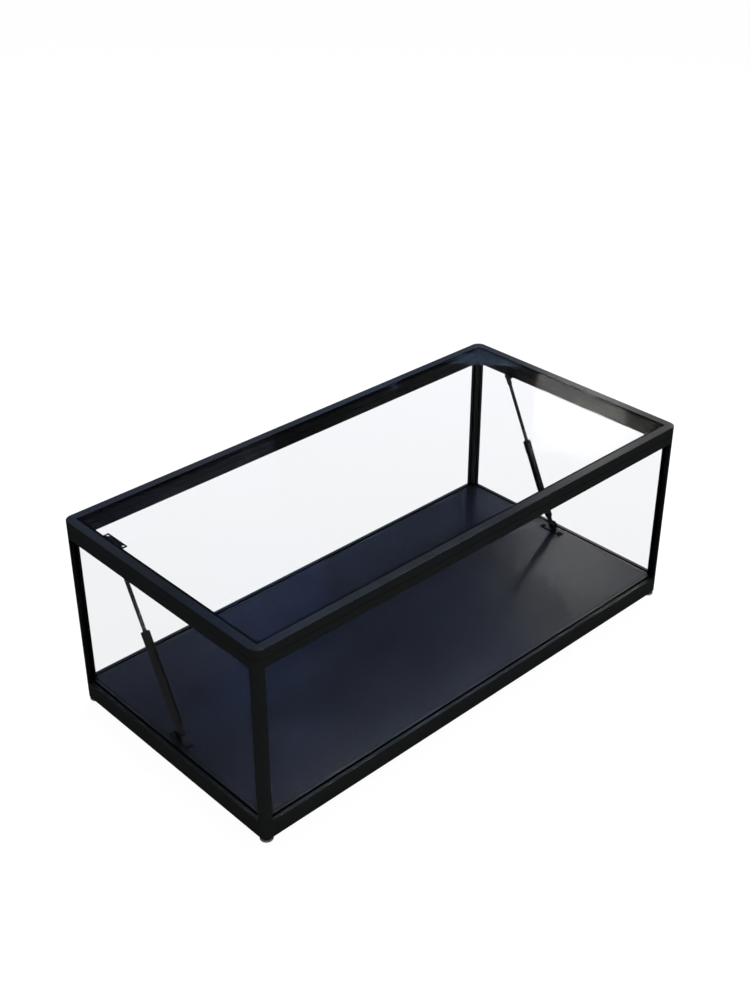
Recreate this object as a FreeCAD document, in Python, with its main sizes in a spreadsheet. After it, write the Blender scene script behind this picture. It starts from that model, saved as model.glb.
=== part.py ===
"""Collectors display table: a low glazed case with a lifting glass lid.

The frame is aluminium extrusion.  Four butted bottom rails and four cast quarter-round corners carry
the display floor, four quarter-round posts carry the top rails, and a flat lid frame with a flush pane
swings on two butt hinges along the back.  A gas strut at each end holds the lid.
Millimetres, +Z up, origin on the floor under the middle of the table, front at -Y, hinges at +Y.
"""
import FreeCAD, Part
import os
import re

import Sketcher

Vector = FreeCAD.Vector
Rotation = FreeCAD.Rotation

SIZES = (
    # name, size in mm, what it is
    ("table_length", 1200.0, "overall length"),
    ("table_depth", 600.0, "overall depth"),
    ("table_height", 450.0, "overall height on the feet"),
    ("foot_height", 12.0, "clear height under the bottom rails"),
    ("post_width", 20.0, "width of posts and castings, and radius of their rounded corner"),
    ("bottom_rail_height", 40.0, "height of the bottom rails"),
    ("top_rail_width", 26.0, "width of the top rails and of the lid rails"),
    ("top_rail_height", 19.25, "height of the top rails"),
    ("lid_rail_height", 19.25, "height of the lid rails"),
    ("seam_gap", 1.5, "gap between case and closed lid"),
    ("wall", 3.0, "wall of the extrusions"),
    ("thick_wall", 4.0, "top wall of the top rails, which holds the hinges"),
    ("seam_chamfer", 1.0, "chamfer round the top of the case"),
    ("lid_edge_radius", 1.5, "rounding of the lid's outer top edge"),
    ("groove_inset", 8.0, "outer face to the glazing groove"),
    ("groove_width", 5.0, "width of the glazing groove"),
    ("bottom_groove_depth", 5.0, "depth of the groove in the bottom rails"),
    ("top_groove_depth", 8.0, "depth of the groove in the top rails, for lifting a pane in"),
    ("post_groove_depth", 3.5, "depth of the grooves in the posts"),
    ("gasket_wall", 0.5, "wall of the glazing channel"),
    ("gasket_lip", 0.8, "how far the glazing channel stands out of its groove"),
    ("pane_engagement", 5.0, "how far a pane reaches up into the top groove"),
    ("pane_arris", 0.4, "ground edge of the panes"),
    ("flange_reach", 10.0, "inner flange of the bottom rails, under the display floor"),
    ("flange_thickness", 2.5, "thickness of that flange"),
    ("floor_thickness", 10.0, "display floor"),
    ("floor_gap", 0.5, "gap round the display floor"),
    ("lid_glass", 5.0, "thickness of the lid pane"),
    ("lid_glass_gap", 1.5, "shadow gap round the lid pane"),
    ("lid_land", 20.0, "width of the lid frame's top face"),
    ("tape_thickness", 0.5, "bonding tape under the lid pane"),
    ("spigot_length", 25.0, "reach of the casting spigots into the rails"),
    ("fit_gap", 0.15, "clearance of a spigot in its rail"),
    ("running_gap", 0.3, "clearance between pieces that pass each other"),
    ("shaft_gap", 0.05, "radial clearance of a pin in its bore"),
    ("seal_inset", 17.0, "outer face to the dust seal"),
    ("seal_width", 5.0, "width of the dust seal"),
    ("seal_height", 1.2, "height of the dust seal"),
    ("hinge_setback", 3.0, "back face to the hinge axis, and radius of the knuckles"),
    ("hinge_pin_radius", 1.5, "radius of the hinge pins"),
    ("hinge_length", 60.0, "length of a hinge"),
    ("hinge_inset", 200.0, "end face to a hinge's middle"),
    ("leaf_thickness", 1.5, "thickness of a hinge leaf"),
    ("leaf_reach", 13.0, "hinge axis to the far edge of a leaf"),
    ("leaf_screw_reach", 8.0, "hinge axis to the leaf screws"),
    ("leaf_screw_radius", 1.5, "radius of the leaf screws"),
    ("leaf_screw_spacing", 40.0, "spacing of the two screws of a leaf"),
    ("leaf_screw_length", 7.0, "length of a leaf screw"),
    ("lid_back_chamfer", 7.0, "chamfer that lets the lid's back edge swing past the case"),
    ("strut_inset", 36.0, "end face to the strut's axis"),
    ("strut_floor_pivot", 15.0, "display floor to the lower pivot"),
    ("strut_lid_pivot_drop", 36.0, "top of the lid to the upper pivot, lid closed"),
    ("strut_lid_pivot_back", 168.0, "middle of the table to the upper pivot, lid closed"),
    ("strut_cylinder_radius", 8.5, "radius of the strut's cylinder"),
    ("strut_cylinder_wall", 1.5, "wall of the strut's cylinder"),
    ("strut_cylinder_start", 25.0, "lower pivot to the cylinder's shoulder"),
    ("strut_collar_radius", 9.25, "radius of the collar at the cylinder's mouth"),
    ("strut_collar_length", 30.0, "length of the collar"),
    ("strut_collar_top", 221.0, "lower pivot to the collar's top"),
    ("strut_rod_radius", 4.0, "radius of the strut's rod"),
    ("strut_rod_foot", 36.0, "lower pivot to the piston's lower face, lid closed"),
    ("piston_length", 6.0, "length of the piston"),
    ("strut_neck_radius", 5.5, "radius of the neck between eye and cylinder"),
    ("strut_chamfer", 1.0, "chamfers of the collar"),
    ("eye_radius", 7.0, "radius of the strut's eyes"),
    ("eye_overlap", 1.0, "how far a neck runs into its eye"),
    ("eye_thickness", 6.0, "thickness of the strut's eyes"),
    ("strut_pin_radius", 3.0, "radius of the strut pins"),
    ("strut_pin_head", 4.8, "radius of the heads and shoulders of the strut pins"),
    ("strut_pin_head_height", 1.5, "height of those heads"),
    ("bracket_length", 63.0, "length of a strut bracket"),
    ("bracket_width", 15.0, "width of a strut bracket"),
    ("bracket_thickness", 2.5, "sheet thickness of the strut brackets"),
    ("bracket_hole_radius", 3.5, "radius of the two holes in a bracket's plate"),
    ("bracket_hole_spacing", 51.0, "spacing of those holes"),
    ("bracket_ear_width", 18.0, "width of a bracket's ear, rounded at the pivot"),
    ("bracket_leg_height", 12.5, "height of the lid bracket's leg against the lid rail"),
    ("bracket_screw_radius", 2.0, "radius of the screws that hold the brackets"),
    ("bracket_screw_spacing", 44.0, "spacing of the lid bracket's screws"),
    ("floor_screw_radius", 3.2, "radius of the floor bracket's screws"),
    ("floor_screw_head", 5.25, "radius of the head of a floor bracket's screw"),
    ("floor_screw_length", 9.0, "length of a floor bracket's screw below its plate"),
    ("foot_inset", 16.0, "outer faces to the middle of a foot"),
    ("foot_pad_radius", 13.5, "radius of a foot's pad"),
    ("foot_pad_height", 5.0, "height of a foot's pad"),
    ("foot_pad_chamfer", 1.0, "chamfer round the pad's underside"),
    ("foot_hub_radius", 10.5, "radius of the hub above the pad"),
    ("foot_stud_radius", 3.0, "radius of a foot's stud"),
    ("foot_stud_length", 26.0, "reach of a foot's stud into its corner"),
    ("post_screw_inset", 10.0, "outer faces to the screw in a post's end"),
    ("post_screw_radius", 2.5, "radius of the screw in a post's end"),
    ("post_screw_seat", 12.0, "top of the foot corner to the seat of that screw's head"),
    ("post_screw_reach", 18.0, "reach of that screw into the post"),
    ("screw_head_ratio", 1.8, "radius of a screw's head over the radius of its shank"),
)

doc = FreeCAD.newDocument("display_table")
sheet = doc.addObject("Spreadsheet::Sheet", "Sizes")
for row, (alias, value, note) in enumerate(SIZES, start=1):
    sheet.set(f"A{row}", f"{value:g}")
    sheet.set(f"B{row}", note)
    sheet.setAlias(f"A{row}", alias)
doc.recompute()
ALIASES = {alias for alias, _, _ in SIZES}

# Places that follow from the sizes.
HALF_LENGTH = "(table_length / 2)"
HALF_DEPTH = "(table_depth / 2)"
LID_BOTTOM = "(table_height - lid_rail_height)"
CASE_TOP = f"({LID_BOTTOM} - seam_gap)"
TOP_RAIL_BOTTOM = f"({CASE_TOP} - top_rail_height)"
BOTTOM_RAIL_TOP = "(foot_height + bottom_rail_height)"
FLANGE_TOP = f"({BOTTOM_RAIL_TOP} - floor_thickness)"
GROOVE_END = "(groove_inset + groove_width)"
LID_LEDGE = "(table_height - lid_glass - tape_thickness)"
HINGE_Y = f"({HALF_DEPTH} - hinge_setback)"
HINGE_Z = f"({LID_BOTTOM} - seam_gap / 2)"
HINGE_X = f"({HALF_LENGTH} - hinge_inset)"
STRUT_X = f"({HALF_LENGTH} - strut_inset)"
STRUT_FLOOR_Z = f"({BOTTOM_RAIL_TOP} + strut_floor_pivot)"
STRUT_LID_Z = "(table_height - strut_lid_pivot_drop)"
STRUT_RISE = f"({STRUT_LID_Z} - {STRUT_FLOOR_Z})"
STRUT_LENGTH = f"sqrt(strut_lid_pivot_back ^ 2 + {STRUT_RISE} ^ 2)"
STRUT_LEAN = f"atan2(strut_lid_pivot_back; {STRUT_RISE})"
BRACKET_OUTER = f"({HALF_LENGTH} - top_rail_width - running_gap)"
BRACKET_INNER = f"({BRACKET_OUTER} - bracket_width)"
EAR_INNER = f"({BRACKET_OUTER} - bracket_thickness)"
LID_PLATE_TOP = f"({LID_LEDGE} + tape_thickness - running_gap)"

CORNERS = (
    # name, side of the table along X and Y, quarter turns from the front left corner
    ("front_left", -1, -1, 0),
    ("front_right", 1, -1, 1),
    ("back_right", 1, 1, 2),
    ("back_left", -1, 1, 3),
)
pieces = []


def bound(text):
    """Turn a formula of size names into an expression on the sheet."""
    return re.sub(r"[a-z][a-z0-9_]*", lambda word: sheet_name(word.group()), text)


def sheet_name(word):
    return f"Sizes.{word}" if word in ALIASES else word


def number(text):
    """The present value of a formula of size names."""
    value = sheet.evalExpression(bound(text))
    return value.Value if hasattr(value, "Value") else float(value)


def bind(item, prop, text):
    item.setExpression(prop, bound(text))


def new_body(name):
    body = doc.addObject("PartDesign::Body", name)
    body.Label = name
    pieces.append(body)
    return body


def origin_plane(body, role):
    return next(item for item in body.Origin.OriginFeatures if item.Role == role)


def new_sketch(body, name, role, height="0"):
    """An empty sketch on one of the body's own planes, lifted along that plane's normal."""
    sketch = body.newObject("Sketcher::SketchObject", name)
    sketch.AttachmentSupport = [(origin_plane(body, role), "")]
    sketch.MapMode = "FlatFace"
    bind(sketch, "AttachmentOffset.Base.z", height)
    return sketch


def hold_point(sketch, edge, end, across, up):
    """Hold one end of an edge at a place given from the sketch's origin."""
    for kind, text in (("DistanceX", across), ("DistanceY", up)):
        held = sketch.addConstraint(Sketcher.Constraint(kind, -1, 1, edge, end, number(text)))
        bind(sketch, f"Constraints[{held}]", text)


def draw_loop(sketch, points):
    """A closed outline through the points.

    A point is (across, up), or (across, up, radius) where the edge that leaves it is an arc of that
    radius that turns left; the outline runs anticlockwise.
    """
    places = [Vector(number(point[0]), number(point[1]), 0) for point in points]
    first = sketch.GeometryCount
    last = first + len(points) - 1
    for index, point in enumerate(points):
        start = places[index]
        end = places[(index + 1) % len(points)]
        if len(point) == 3:
            sketch.addGeometry(left_arc(start, end, number(point[2])))
        else:
            sketch.addGeometry(Part.LineSegment(start, end))
    for index, point in enumerate(points):
        edge = first + index
        following = first if edge == last else edge + 1
        sketch.addConstraint(Sketcher.Constraint("Coincident", edge, 2, following, 1))
        hold_point(sketch, edge, 1, point[0], point[1])
        if len(point) == 3:
            held = sketch.addConstraint(Sketcher.Constraint("Radius", edge, number(point[2])))
            bind(sketch, f"Constraints[{held}]", point[2])


def left_arc(start, end, radius):
    """The short arc from start to end with its centre on the left."""
    chord = end - start
    rise = max(radius ** 2 - chord.Length ** 2 / 4, 0) ** 0.5
    inward = Vector(-chord.y, chord.x, 0).normalize()
    centre = (start + end) / 2 + inward * rise
    middle = centre - inward * radius
    return Part.Arc(start, middle, end)


def draw_circle(sketch, across, up, radius):
    centre = Vector(number(across), number(up), 0)
    edge = sketch.addGeometry(Part.Circle(centre, Vector(0, 0, 1), number(radius)))
    held = sketch.addConstraint(Sketcher.Constraint("Radius", edge, number(radius)))
    bind(sketch, f"Constraints[{held}]", radius)
    hold_point(sketch, edge, 3, across, up)


def rectangle(low_across, low_up, high_across, high_up):
    return [(low_across, low_up), (high_across, low_up), (high_across, high_up), (low_across, high_up)]


def extrude(body, kind, name, sketch, length, reverse=False, symmetric=False):
    """A Pad or a Pocket; a length of None means through all."""
    feature = body.newObject(f"PartDesign::{kind}", name)
    feature.Profile = sketch
    feature.Reversed = reverse
    if symmetric:
        feature.SideType = "Symmetric"
    if length is None:
        feature.Type = "ThroughAll"
    else:
        bind(feature, "Length", length)
    sketch.Visibility = False
    return feature


def pad(body, name, sketch, length, reverse=False, symmetric=False):
    return extrude(body, "Pad", name, sketch, length, reverse, symmetric)


def pocket(body, name, sketch, length, reverse=False, symmetric=False):
    return extrude(body, "Pocket", name, sketch, length, reverse, symmetric)


def revolve(body, name, points):
    """Turn an outline of (radius, height) points about the body's Z axis."""
    sketch = new_sketch(body, f"{name}_outline", "XZ_Plane")
    draw_loop(sketch, points)
    feature = body.newObject("PartDesign::Revolution", name)
    feature.Profile = sketch
    feature.ReferenceAxis = (sketch, ["V_Axis"])
    feature.Angle = 360
    sketch.Visibility = False
    return feature


def place(item, across="0", along="0", height="0"):
    for axis, text in zip("xyz", (across, along, height)):
        bind(item, f"Placement.Base.{axis}", text)


def turn(item, degrees):
    """Turn a piece about the upright axis."""
    item.Placement = FreeCAD.Placement(item.Placement.Base, Rotation(Vector(0, 0, 1), degrees))


def signed(side, text):
    return f"({side} * ({text}))"


# Rails.  Each is drawn in place on the front or the left; the back and right ones are turned half round.

def section(sketch, edge, points):
    """Draw a rail's section from (distance inward from the outer face, height) points."""
    draw_loop(sketch, [(f"{point[0]} - {edge}", *point[1:]) for point in points])


def new_rail(name, lengthwise, outline, cavity):
    body = new_body(name)
    edge = HALF_DEPTH if lengthwise else HALF_LENGTH
    half_run = HALF_LENGTH if lengthwise else HALF_DEPTH
    sketch = new_sketch(body, f"{name}_section", "YZ_Plane" if lengthwise else "XZ_Plane")
    section(sketch, edge, outline)
    section(sketch, edge, cavity)
    pad(body, f"{name}_extrusion", sketch, f"2 * ({half_run} - post_width)", symmetric=True)
    return body


def cope_ends(body, low, high, reach):
    """Shorten a side rail between two insets so that it meets the faces of the front and back rails."""
    sketch = new_sketch(body, f"{body.Label}_cope", "XY_Plane")
    far = f"{HALF_DEPTH} - post_width"
    near = f"{HALF_DEPTH} - post_width - ({reach})"
    across = (f"{low} - {HALF_LENGTH}", f"{high} - {HALF_LENGTH}")
    draw_loop(sketch, rectangle(across[0], near, across[1], far))
    draw_loop(sketch, rectangle(across[0], f"-({far})", across[1], f"-({near})"))
    pocket(body, f"{body.Label}_coped", sketch, None, reverse=True)


def drill(body, name, role, centres, radius, height, depth, reverse=False):
    """Round holes from one face; a depth of None goes through."""
    sketch = new_sketch(body, f"{name}_centres", role, height)
    for across, up in centres:
        draw_circle(sketch, across, up, radius)
    return pocket(body, name, sketch, depth, reverse)


LEAF_SCREWS = [
    (f"{side} * {HINGE_X} + {end} * leaf_screw_spacing / 2",
     f"hinge_setback + leaf_screw_reach - {HALF_DEPTH}")
    for side in (-1, 1) for end in (-1, 1)
]


def cut_hinge_seats(body, height, upward):
    """Sink the hinge leaves into the seam face of a back rail, and drill for their screws."""
    seats = (
        ("leaf_seat", "hinge_setback + leaf_reach + running_gap", "leaf_thickness"),
        ("knuckle_seat", "2 * hinge_setback + running_gap", "hinge_setback + running_gap - seam_gap / 2"),
    )
    for name, reach, depth in seats:
        sketch = new_sketch(body, f"{body.Label}_{name}_plan", "XY_Plane", height)
        for side in (-1, 1):
            near = f"{side} * {HINGE_X} - hinge_length / 2 - running_gap"
            far = f"{side} * {HINGE_X} + hinge_length / 2 + running_gap"
            draw_loop(sketch, rectangle(near, f"-{HALF_DEPTH}", far, f"{reach} - {HALF_DEPTH}"))
        pocket(body, f"{body.Label}_{name}", sketch, depth, reverse=upward)
    drill(body, f"{body.Label}_leaf_screw_holes", "XY_Plane", LEAF_SCREWS,
          "leaf_screw_radius + shaft_gap", height, "leaf_screw_length", reverse=upward)


bottom_section = [
    ("0", "foot_height"),
    ("post_width", "foot_height"),
    ("post_width", f"{FLANGE_TOP} - flange_thickness"),
    ("post_width + flange_reach", f"{FLANGE_TOP} - flange_thickness"),
    ("post_width + flange_reach", FLANGE_TOP),
    ("post_width", FLANGE_TOP),
    ("post_width", BOTTOM_RAIL_TOP),
    (GROOVE_END, BOTTOM_RAIL_TOP),
    (GROOVE_END, f"{BOTTOM_RAIL_TOP} - bottom_groove_depth"),
    ("groove_inset", f"{BOTTOM_RAIL_TOP} - bottom_groove_depth"),
    ("groove_inset", BOTTOM_RAIL_TOP),
    ("0", BOTTOM_RAIL_TOP),
]
BOTTOM_CAVITY_TOP = f"({BOTTOM_RAIL_TOP} - bottom_groove_depth - wall)"
bottom_cavity = rectangle("wall", "foot_height + wall", "post_width - wall", BOTTOM_CAVITY_TOP)

top_section = [
    ("0", TOP_RAIL_BOTTOM),
    ("groove_inset", TOP_RAIL_BOTTOM),
    ("groove_inset", f"{TOP_RAIL_BOTTOM} + top_groove_depth"),
    (GROOVE_END, f"{TOP_RAIL_BOTTOM} + top_groove_depth"),
    (GROOVE_END, TOP_RAIL_BOTTOM),
    ("top_rail_width", TOP_RAIL_BOTTOM),
    ("top_rail_width", CASE_TOP),
    ("seam_chamfer", CASE_TOP),
    ("0", f"{CASE_TOP} - seam_chamfer"),
]
top_cavity = [
    ("wall", f"{TOP_RAIL_BOTTOM} + wall"),
    ("groove_inset - wall", f"{TOP_RAIL_BOTTOM} + wall"),
    ("groove_inset - wall", f"{TOP_RAIL_BOTTOM} + top_groove_depth + wall"),
    (f"{GROOVE_END} + wall", f"{TOP_RAIL_BOTTOM} + top_groove_depth + wall"),
    (f"{GROOVE_END} + wall", f"{TOP_RAIL_BOTTOM} + wall"),
    ("top_rail_width - wall", f"{TOP_RAIL_BOTTOM} + wall"),
    ("top_rail_width - wall", f"{CASE_TOP} - thick_wall"),
    ("wall", f"{CASE_TOP} - thick_wall"),
]

lid_top_of_section = [
    ("top_rail_width", LID_BOTTOM),
    ("top_rail_width", LID_LEDGE),
    ("lid_land", LID_LEDGE),
    ("lid_land", "table_height"),
    ("lid_edge_radius", "table_height", "lid_edge_radius"),
    ("0", "table_height - lid_edge_radius"),
]
lid_section = [("0", LID_BOTTOM)] + lid_top_of_section
lid_back_section = (
    [("lid_back_chamfer", LID_BOTTOM)] + lid_top_of_section + [("0", f"{LID_BOTTOM} + lid_back_chamfer")]
)
# The cavity keeps its wall from the chamfer of the back rail; all four rails are cut from one extrusion.
CHAMFER_REACH = "(lid_back_chamfer + wall * sqrt(2) - wall)"
lid_cavity = [
    (CHAMFER_REACH, f"{LID_BOTTOM} + wall"),
    ("top_rail_width - wall", f"{LID_BOTTOM} + wall"),
    ("top_rail_width - wall", f"{LID_LEDGE} - wall"),
    ("lid_land - wall", f"{LID_LEDGE} - wall"),
    ("lid_land - wall", "table_height - wall"),
    ("wall", "table_height - wall"),
    ("wall", f"{LID_BOTTOM} + {CHAMFER_REACH}"),
]

LEG_SCREW_Z = f"({LID_PLATE_TOP} - bracket_leg_height / 2)"
for side, lengthwise, half_turn in (
    ("front", True, 0),
    ("back", True, 180),
    ("left", False, 0),
    ("right", False, 180),
):
    bottom_rail = new_rail(f"bottom_rail_{side}", lengthwise, bottom_section, bottom_cavity)
    top_rail = new_rail(f"top_rail_{side}", lengthwise, top_section, top_cavity)
    lid_rail = new_rail(
        f"lid_rail_{side}", lengthwise, lid_back_section if side == "back" else lid_section, lid_cavity
    )
    if side == "back":
        cut_hinge_seats(top_rail, CASE_TOP, upward=False)
        cut_hinge_seats(lid_rail, LID_BOTTOM, upward=True)
    if not lengthwise:
        cope_ends(bottom_rail, "post_width", "post_width + flange_reach", "flange_reach")
        cope_ends(top_rail, "post_width", "top_rail_width", "top_rail_width - post_width")
        cope_ends(lid_rail, "post_width", "top_rail_width", "top_rail_width - post_width")
        toward_back = 1 if side == "left" else -1
        drill(
            lid_rail, f"{lid_rail.Label}_bracket_holes", "YZ_Plane",
            [(f"{toward_back} * strut_lid_pivot_back + {end} * bracket_screw_spacing / 2", LEG_SCREW_Z)
             for end in (-1, 1)],
            "bracket_screw_radius + shaft_gap", f"top_rail_width - {HALF_LENGTH}", "wall",
        )
    for rail in (bottom_rail, top_rail, lid_rail):
        turn(rail, half_turn)


# Corners.  Each is drawn at the origin with its rounded corner outward, then turned to its place.

def round_corner(inner_points):
    """A quarter-round outline with its inner side given from the end of the arc."""
    return [("post_width", "0")] + inner_points + [("0", "post_width", "post_width")]


def groove_steps():
    """The inner side of a post, with a glazing groove in each face."""
    groove_floor = "post_width - post_groove_depth"
    return [
        ("post_width", "groove_inset"),
        (groove_floor, "groove_inset"),
        (groove_floor, GROOVE_END),
        ("post_width", GROOVE_END),
        ("post_width", "post_width"),
        (GROOVE_END, "post_width"),
        (GROOVE_END, groove_floor),
        ("groove_inset", groove_floor),
        ("groove_inset", "post_width"),
    ]


def rounded_edge(shape, height):
    """The name of the quarter-round edge at a height."""
    for index, edge in enumerate(shape.Edges, start=1):
        box = edge.BoundBox
        if box.ZLength < 1e-6 and abs(box.ZMin - height) < 1e-6 and edge.Curve.TypeId == "Part::GeomCircle":
            if abs(edge.Curve.Radius - number("post_width")) < 1e-6:
                return f"Edge{index}"
    raise ValueError("no rounded edge at that height")


def dress_corner(body, kind, name, height, prop, size):
    """Fillet or chamfer the rounded edge of a corner piece."""
    doc.recompute()
    before = body.Tip
    feature = body.newObject(f"PartDesign::{kind}", name)
    feature.Base = (before, [rounded_edge(before.Shape, number(height))])
    bind(feature, prop, size)
    return feature


def add_spigots(body, outline):
    """Two equal spigots, one into each rail that meets the corner."""
    for name, role, start, reverse in (
        ("lengthwise", "YZ_Plane", "post_width", False),
        ("crosswise", "XZ_Plane", "-post_width", True),
    ):
        sketch = new_sketch(body, f"{body.Label}_{name}_outline", role, start)
        draw_loop(sketch, outline)
        pad(body, f"{body.Label}_{name}_spigot", sketch, "spigot_length", reverse)


def set_in_corner(body, corner):
    name, side_x, side_y, quarter_turns = corner
    turn(body, 90 * quarter_turns)
    place(body, signed(side_x, HALF_LENGTH), signed(side_y, HALF_DEPTH))


LOW_IN_CAVITY = "wall + fit_gap"
bottom_spigot = rectangle(
    LOW_IN_CAVITY, f"foot_height + {LOW_IN_CAVITY}",
    f"post_width - ({LOW_IN_CAVITY})", f"{BOTTOM_CAVITY_TOP} - fit_gap",
)
lid_spigot = [
    (f"{CHAMFER_REACH} + fit_gap", f"{LID_BOTTOM} + {LOW_IN_CAVITY}"),
    ("lid_land - wall - fit_gap", f"{LID_BOTTOM} + {LOW_IN_CAVITY}"),
    ("lid_land - wall - fit_gap", f"table_height - ({LOW_IN_CAVITY})"),
    (LOW_IN_CAVITY, f"table_height - ({LOW_IN_CAVITY})"),
    (LOW_IN_CAVITY, f"{LID_BOTTOM} + {CHAMFER_REACH} + fit_gap"),
]
POST_SCREW = ("post_screw_inset", "post_screw_inset")
POST_SCREW_SEAT = f"({BOTTOM_RAIL_TOP} - post_screw_seat)"
POST_SCREW_HEAD = "(post_screw_radius * screw_head_ratio)"


def foot_corner(corner):
    body = new_body(f"foot_corner_{corner[0]}")
    name = body.Label
    plan = new_sketch(body, f"{name}_plan", "XY_Plane", "foot_height")
    draw_loop(plan, round_corner([("post_width", "post_width")]))
    pad(body, f"{name}_block", plan, "bottom_rail_height")
    grooves = new_sketch(body, f"{name}_groove_plan", "XY_Plane", BOTTOM_RAIL_TOP)
    groove_floor = "post_width - post_groove_depth"
    draw_loop(grooves, rectangle(groove_floor, "groove_inset", "post_width", GROOVE_END))
    draw_loop(grooves, rectangle("groove_inset", groove_floor, GROOVE_END, "post_width"))
    pocket(body, f"{name}_grooves", grooves, "bottom_groove_depth")
    drill(body, f"{name}_post_screw_hole", "XY_Plane", [POST_SCREW],
          "post_screw_radius + shaft_gap", "foot_height", None, reverse=True)
    drill(body, f"{name}_post_screw_recess", "XY_Plane", [POST_SCREW],
          f"{POST_SCREW_HEAD} + running_gap", "foot_height", f"{POST_SCREW_SEAT} - foot_height", reverse=True)
    add_spigots(body, bottom_spigot)
    drill(body, f"{name}_stud_hole", "XY_Plane", [("foot_inset", "foot_inset")],
          "foot_stud_radius + shaft_gap", "foot_height", "foot_stud_length + 2 * foot_stud_radius",
          reverse=True)
    set_in_corner(body, corner)


def corner_post(corner):
    body = new_body(f"corner_post_{corner[0]}")
    plan = new_sketch(body, f"{body.Label}_section", "XY_Plane", BOTTOM_RAIL_TOP)
    draw_loop(plan, round_corner(groove_steps()))
    draw_circle(plan, *POST_SCREW, "post_screw_radius + shaft_gap")
    pad(body, f"{body.Label}_extrusion", plan, f"{CASE_TOP} - {BOTTOM_RAIL_TOP}")
    dress_corner(body, "Chamfer", f"{body.Label}_seam_chamfer", CASE_TOP, "Size", "seam_chamfer")
    set_in_corner(body, corner)


def lid_corner(corner):
    body = new_body(f"lid_corner_{corner[0]}")
    name = body.Label
    plan = new_sketch(body, f"{name}_plan", "XY_Plane", LID_BOTTOM)
    draw_loop(plan, round_corner([("post_width", "post_width")]))
    pad(body, f"{name}_block", plan, "lid_rail_height")
    dress_corner(body, "Fillet", f"{name}_rounding", "table_height", "Radius", "lid_edge_radius")
    add_spigots(body, lid_spigot)
    if corner[2] > 0:
        # The back face of a turned corner lies on its own X side or its own Y side.
        role = "XZ_Plane" if corner[3] == 3 else "YZ_Plane"
        wedge = new_sketch(body, f"{name}_chamfer_outline", role)
        draw_loop(wedge, [
            ("0", LID_BOTTOM),
            ("lid_back_chamfer", LID_BOTTOM),
            ("0", f"{LID_BOTTOM} + lid_back_chamfer"),
        ])
        pocket(body, f"{name}_chamfer", wedge, "2 * post_width", symmetric=True)
    set_in_corner(body, corner)


for corner in CORNERS:
    foot_corner(corner)
    corner_post(corner)
    lid_corner(corner)


# Panels, panes and seals.

def slab(name, half_x, half_y, bottom, thickness, arris=None):
    """A flat rectangular plate centred on the table."""
    body = new_body(name)
    plan = new_sketch(body, f"{name}_plan", "XY_Plane", bottom)
    draw_loop(plan, rectangle(f"-({half_x})", f"-({half_y})", half_x, half_y))
    pad(body, f"{name}_plate", plan, thickness)
    if arris:
        ground_edges(body, arris)
    return body


def ground_edges(body, arris):
    """Take the sharp edge off all round a pane."""
    doc.recompute()
    before = body.Tip
    feature = body.newObject("PartDesign::Chamfer", f"{body.Label}_arris")
    feature.Base = (before, [f"Edge{index}" for index in range(1, len(before.Shape.Edges) + 1)])
    bind(feature, "Size", arris)


def plain_box(name, low, high):
    """A box between two corners, given as formulas."""
    box = doc.addObject("Part::Box", name)
    for prop, axis, start, end in zip(("Length", "Width", "Height"), "xyz", low, high):
        bind(box, prop, f"({end}) - ({start})")
        bind(box, f"Placement.Base.{axis}", start)
    return box


def cut(name, base, tool):
    result = doc.addObject("Part::Cut", name)
    result.Base = base
    result.Tool = tool
    return result


def group(name, members):
    """Separate equal solids that share one node."""
    result = doc.addObject("Part::Compound", name)
    result.Label = name
    result.Links = members
    pieces.append(result)
    return result


floor_panel = slab(
    "floor_panel", f"{HALF_LENGTH} - post_width - floor_gap", f"{HALF_DEPTH} - post_width - floor_gap",
    FLANGE_TOP, "floor_thickness",
)
drill(
    floor_panel, "floor_panel_bracket_holes", "XY_Plane",
    [(f"{side} * {STRUT_X}", f"{end} * bracket_hole_spacing / 2") for side in (-1, 1) for end in (-1, 1)],
    "floor_screw_radius + shaft_gap", BOTTOM_RAIL_TOP, "floor_screw_length",
)
slab(
    "lid_glass", f"{HALF_LENGTH} - lid_land - lid_glass_gap", f"{HALF_DEPTH} - lid_land - lid_glass_gap",
    "table_height - lid_glass", "lid_glass", "pane_arris",
)

PANE_BOTTOM = f"({BOTTOM_RAIL_TOP} - bottom_groove_depth + gasket_wall)"
PANE_TOP = f"({TOP_RAIL_BOTTOM} + pane_engagement)"
PANE_FACE = "(groove_inset + gasket_wall)"
PANE_THICKNESS = "(groove_width - 2 * gasket_wall)"


def side_corners(lengthwise, side, insets, ends, heights):
    """Two opposite corners of a box that stands along one side of the table.

    The insets run inward from the outer face, and the ends inward from the two ends of that side.
    """
    long_half, short_half = (HALF_LENGTH, HALF_DEPTH) if lengthwise else (HALF_DEPTH, HALF_LENGTH)
    along = (f"-({long_half} - ({ends}))", f"{long_half} - ({ends})")
    depths = [f"{side} * ({short_half} - ({inset}))" for inset in insets]
    across = depths if side < 0 else depths[::-1]
    if lengthwise:
        return (along[0], across[0], heights[0]), (along[1], across[1], heights[1])
    return (across[0], along[0], heights[0]), (across[1], along[1], heights[1])


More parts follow.
